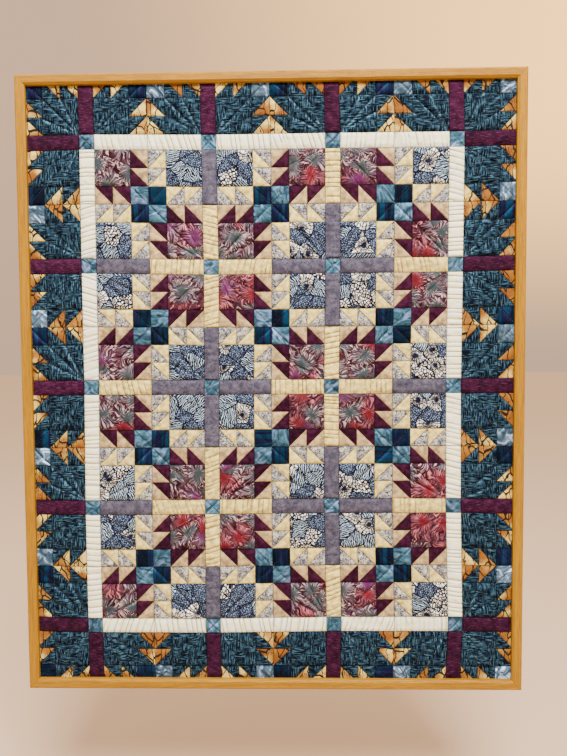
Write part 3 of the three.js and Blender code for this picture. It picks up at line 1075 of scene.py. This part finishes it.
def makeStitchTree():
    tree = bpy.data.node_groups.new("runningStitches", "GeometryNodeTree")

    def addSocket(name, kind, side="INPUT"):
        tree.interface.new_socket(name, in_out=side, socket_type="NodeSocket" + kind)

    addSocket("Guides", "Geometry")
    for name in stitchSettings:
        addSocket(name, "Int" if name == "Seed" else "Float")
    addSocket("Thread", "Material")
    addSocket("Stitches", "Geometry", "OUTPUT")
    given = tree.nodes.new("NodeGroupInput").outputs
    inputs = {"Geometry": given["Guides"], "Distance": guideJoin}
    joined = addNode(tree, "GeometryNodeMergeByDistance", inputs).outputs[0]
    lines = addNode(tree, "GeometryNodeMeshToCurve", {"Mesh": joined}).outputs[0]
    inputs = {"Curve": lines, "Length": given["Pitch"]}
    places = addNode(tree, "GeometryNodeCurveToPoints", inputs, mode="LENGTH").outputs
    forward = addNode(tree, "ShaderNodeCombineXYZ", {1: times(tree, given["Lift"], -1.0)}).outputs[0]
    inputs = {"Geometry": places["Points"], "Offset": forward}
    lifted = addNode(tree, "GeometryNodeSetPosition", inputs).outputs[0]
    inputs = {"Vector": places["Tangent"]}
    aimed = addNode(tree, "FunctionNodeAlignRotationToVector", inputs, axis="Z").outputs[0]
    lowest = calculate(tree, "SUBTRACT", 1.0, given["Unevenness"])
    highest = calculate(tree, "ADD", 1.0, given["Unevenness"])
    inputs = {2: lowest, 3: highest, "Seed": given["Seed"]}
    chance = addNode(tree, "FunctionNodeRandomValue", inputs, data_type="FLOAT").outputs[1]
    reach = times(tree, times(tree, given["Length"], 0.5), chance)
    half = times(tree, given["Thickness"], 0.5)
    size = addNode(tree, "ShaderNodeCombineXYZ", {0: half, 1: half, 2: reach}).outputs[0]
    stitch = addNode(tree, "GeometryNodeMeshUVSphere", stitchShape).outputs["Mesh"]
    inputs = {"Points": lifted, "Instance": stitch, "Rotation": aimed, "Scale": size}
    sewn = addNode(tree, "GeometryNodeInstanceOnPoints", inputs).outputs[0]
    solid = addNode(tree, "GeometryNodeRealizeInstances", {0: sewn}).outputs[0]
    smooth = addNode(tree, "GeometryNodeSetShadeSmooth", {0: solid}).outputs[0]
    inputs = {"Geometry": smooth, "Material": given["Thread"]}
    threaded = addNode(tree, "GeometryNodeSetMaterial", inputs).outputs[0]
    tree.links.new(threaded, tree.nodes.new("NodeGroupOutput").inputs[0])
    return tree


def makeStitches():
    guideMesh = bpy.data.meshes.new("stitchGuides")
    guideMesh.from_pydata(stitchGuides["points"], stitchGuides["edges"], [])
    stitches = bpy.data.objects.new("quilting_stitches", guideMesh)
    bpy.context.scene.collection.objects.link(stitches)
    modifier = stitches.modifiers.new("runningStitches", "NODES")
    modifier.node_group = makeStitchTree()
    values = stitchSettings | {"Thread": makeThread()}
    for socket in modifier.node_group.interface.items_tree:
        if socket.name in values:
            modifier[socket.identifier] = values[socket.name]
    ready = stitches.evaluated_get(bpy.context.evaluated_depsgraph_get())
    mesh = bpy.data.meshes.new_from_object(ready)
    stitches.modifiers.clear()
    stitches.data = mesh
    bpy.data.meshes.remove(guideMesh)
    while mesh.uv_layers:
        mesh.uv_layers.remove(mesh.uv_layers[0])
    flat = mesh.uv_layers.new(name="OFBake")
    size = 2 * quiltHalf[1]
    corners = [mesh.vertices[loop.vertex_index].co for loop in mesh.loops]
    across = [(point.x - quiltCentre[0] + quiltHalf[0]) / size for point in corners]
    up = [(point.z - quiltCentre[1] + quiltHalf[1]) / size for point in corners]
    flat.uv.foreach_set("vector", [value for pair in zip(across, up) for value in pair])
    mesh.calc_loop_triangles()
    print("stitch triangles:", len(mesh.loop_triangles))
    return stitches


stitches = makeStitches()
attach(stitches, "root")
print("stitches sewn")


# Frame

oakLook = {
    "pale": shown(165, 117, 4),
    "golden": shown(143, 100, 14),
    "dark": shown(99, 67, 30),
    "poreShare": 0.4,
    "poreDepth": 0.00012,
    "growthHeight": 0.00003,
    "roughness": 0.5,
    "poreRoughness": 0.18,             # added where a pore opens
    "specular": 0.2,
}


def makeGrain():                       # boards cut so that the grain runs along X of the vector
    inputs = [("Vector", "NodeSocketVector", None)]
    outputs = [("Growth", "NodeSocketFloat"), ("Pores", "NodeSocketFloat")]
    tree, given, result = startGroup("oakGrain", inputs, outputs)
    along = placed(tree, given["Vector"], scale=(2.2, 60, 60))
    growth = cloudy(tree, along, 2.2, 3.0, 0.55, 0.6, dimensions="3D")
    rings = calculate(tree, "SINE", times(tree, growth, 34.0))
    tree.links.new(timesPlus(tree, rings, 0.5, 0.5), result["Growth"])
    fine = placed(tree, given["Vector"], scale=(45, 1900, 1900))
    pores = cloudy(tree, fine, 1.0, 2.0, 0.6, dimensions="3D")
    tree.links.new(softRange(tree, pores, 0.54, 0.66), result["Pores"])
    return tree


grainGroup = makeGrain()


def makeOak(name, upright):
    material, tree = startMaterial(name)
    place = addNode(tree, "ShaderNodeTexCoord").outputs["Object"]
    if upright:
        x, y, z = partsOf(tree, place)
        place = addNode(tree, "ShaderNodeCombineXYZ", {0: z, 1: y, 2: x}).outputs[0]
    grain = useGroup(tree, grainGroup, {"Vector": place})
    growth, pores = grain["Growth"], grain["Pores"]
    colour = mixColours(tree, growth, oakLook["golden"], oakLook["pale"])
    colour = mixColours(tree, times(tree, pores, oakLook["poreShare"]), colour, oakLook["dark"])
    raised = times(tree, growth, oakLook["growthHeight"])
    finishMaterial(tree, {
        "Base Color": colour,
        "Roughness": timesPlus(tree, pores, oakLook["poreRoughness"], oakLook["roughness"]),
        "Normal": bumpOf(tree, timesPlus(tree, pores, -oakLook["poreDepth"], raised)),
        "Specular IOR Level": oakLook["specular"],
    })
    return material


oakAcross = makeOak("oakAcross", upright=False)
oakUpright = makeOak("oakUpright", upright=True)
for name in railNames:
    isUpright = name in ("frame_left_rail", "frame_right_rail")
    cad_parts[name].material_slots[0].material = oakUpright if isUpright else oakAcross
print("frame finished")


# Stage, light and camera

stageSettings = {
    "floorDrop": 0.35,
    "floorReach": 30.0,
    "floorColour": (0.55, 0.415, 0.31, 1.0),
    "floorRoughness": 0.9,
    "skyline": (0.80, 0.53, 0.36, 1.0),        # radiances of the room
    "backdropLow": (0.98, 0.62, 0.39, 1.0),    # behind the quilt, on the left
    "backdropHigh": (3.32, 1.77, 0.55, 1.0),   # and on the right
    "fill": (0.42, 0.39, 0.34, 1.0),           # in front of the quilt
    "ceiling": (2.6, 2.25, 1.85, 1.0),
    "behindRange": (-0.1, 0.45),               # directions over which one part of the room
    "rightRange": (-0.3, 0.55),                # passes into another
    "rightLean": 0.1,
    "skylineRange": (-0.02, 0.38),
    "ceilingRange": (0.7, 0.85),
    "keyPower": 585.0,
    "keyColour": (1.0, 0.93, 0.82),
    "keySize": 1.9,
    "keyPlace": (0.45, -2.55, 2.75),
    "lens": 27.05,
    "cameraPlace": (0.0491, -1.2409, -0.5810),
    "cameraTurn": (87.574, 0.384, 1.075),
}


def makeStage():
    size = stageSettings["floorReach"]
    level = cadBox[0].z - stageSettings["floorDrop"]
    corners = [(-size, -size, level), (size, -size, level), (size, size, level), (-size, size, level)]
    mesh = bpy.data.meshes.new("floor")
    mesh.from_pydata(corners, [], [(0, 1, 2, 3)])
    floor = bpy.data.objects.new("floor", mesh)
    bpy.context.scene.collection.objects.link(floor)
    material, tree = startMaterial("paleFloor")
    inputs = {"Base Color": stageSettings["floorColour"], "Roughness": stageSettings["floorRoughness"]}
    finishMaterial(tree, inputs)
    mesh.materials.append(material)


def makeLights():
    world = bpy.data.worlds.new("paleRoom")
    bpy.context.scene.world = world
    world.use_nodes = True
    tree = world.node_tree
    x, y, z = partsOf(tree, addNode(tree, "ShaderNodeTexCoord").outputs["Generated"])

    def share(value, name):
        return softRange(tree, value, *stageSettings[name])

    rightward = share(timesPlus(tree, z, stageSettings["rightLean"], x), "rightRange")
    backdrop = mixColours(tree, rightward, stageSettings["backdropLow"], stageSettings["backdropHigh"])
    backdrop = mixColours(tree, share(z, "skylineRange"), stageSettings["skyline"], backdrop)
    room = mixColours(tree, share(y, "behindRange"), stageSettings["fill"], backdrop)
    room = mixColours(tree, share(z, "ceilingRange"), room, stageSettings["ceiling"])
    tree.links.new(room, tree.nodes["Background"].inputs[0])
    light = bpy.data.lights.new("ceilingLight", "AREA")
    light.shape = "SQUARE"
    light.size = stageSettings["keySize"]
    light.energy = stageSettings["keyPower"]
    light.color = stageSettings["keyColour"]
    lamp = bpy.data.objects.new("ceilingLight", light)
    lamp.location = stageSettings["keyPlace"]
    aim = Vector((0, 0, (cadBox[0].z + cadBox[1].z) / 2)) - lamp.location
    lamp.rotation_euler = aim.to_track_quat("-Z", "Y").to_euler()
    bpy.context.scene.collection.objects.link(lamp)


def makeCamera():
    data = bpy.data.cameras.new("camera")
    data.lens = stageSettings["lens"]
    camera = bpy.data.objects.new("camera", data)
    camera.location = stageSettings["cameraPlace"]
    camera.rotation_euler = Euler([math.radians(angle) for angle in stageSettings["cameraTurn"]])
    bpy.context.scene.collection.objects.link(camera)
    bpy.context.scene.camera = camera


makeStage()
makeLights()
makeCamera()

print("stage, light and camera set")
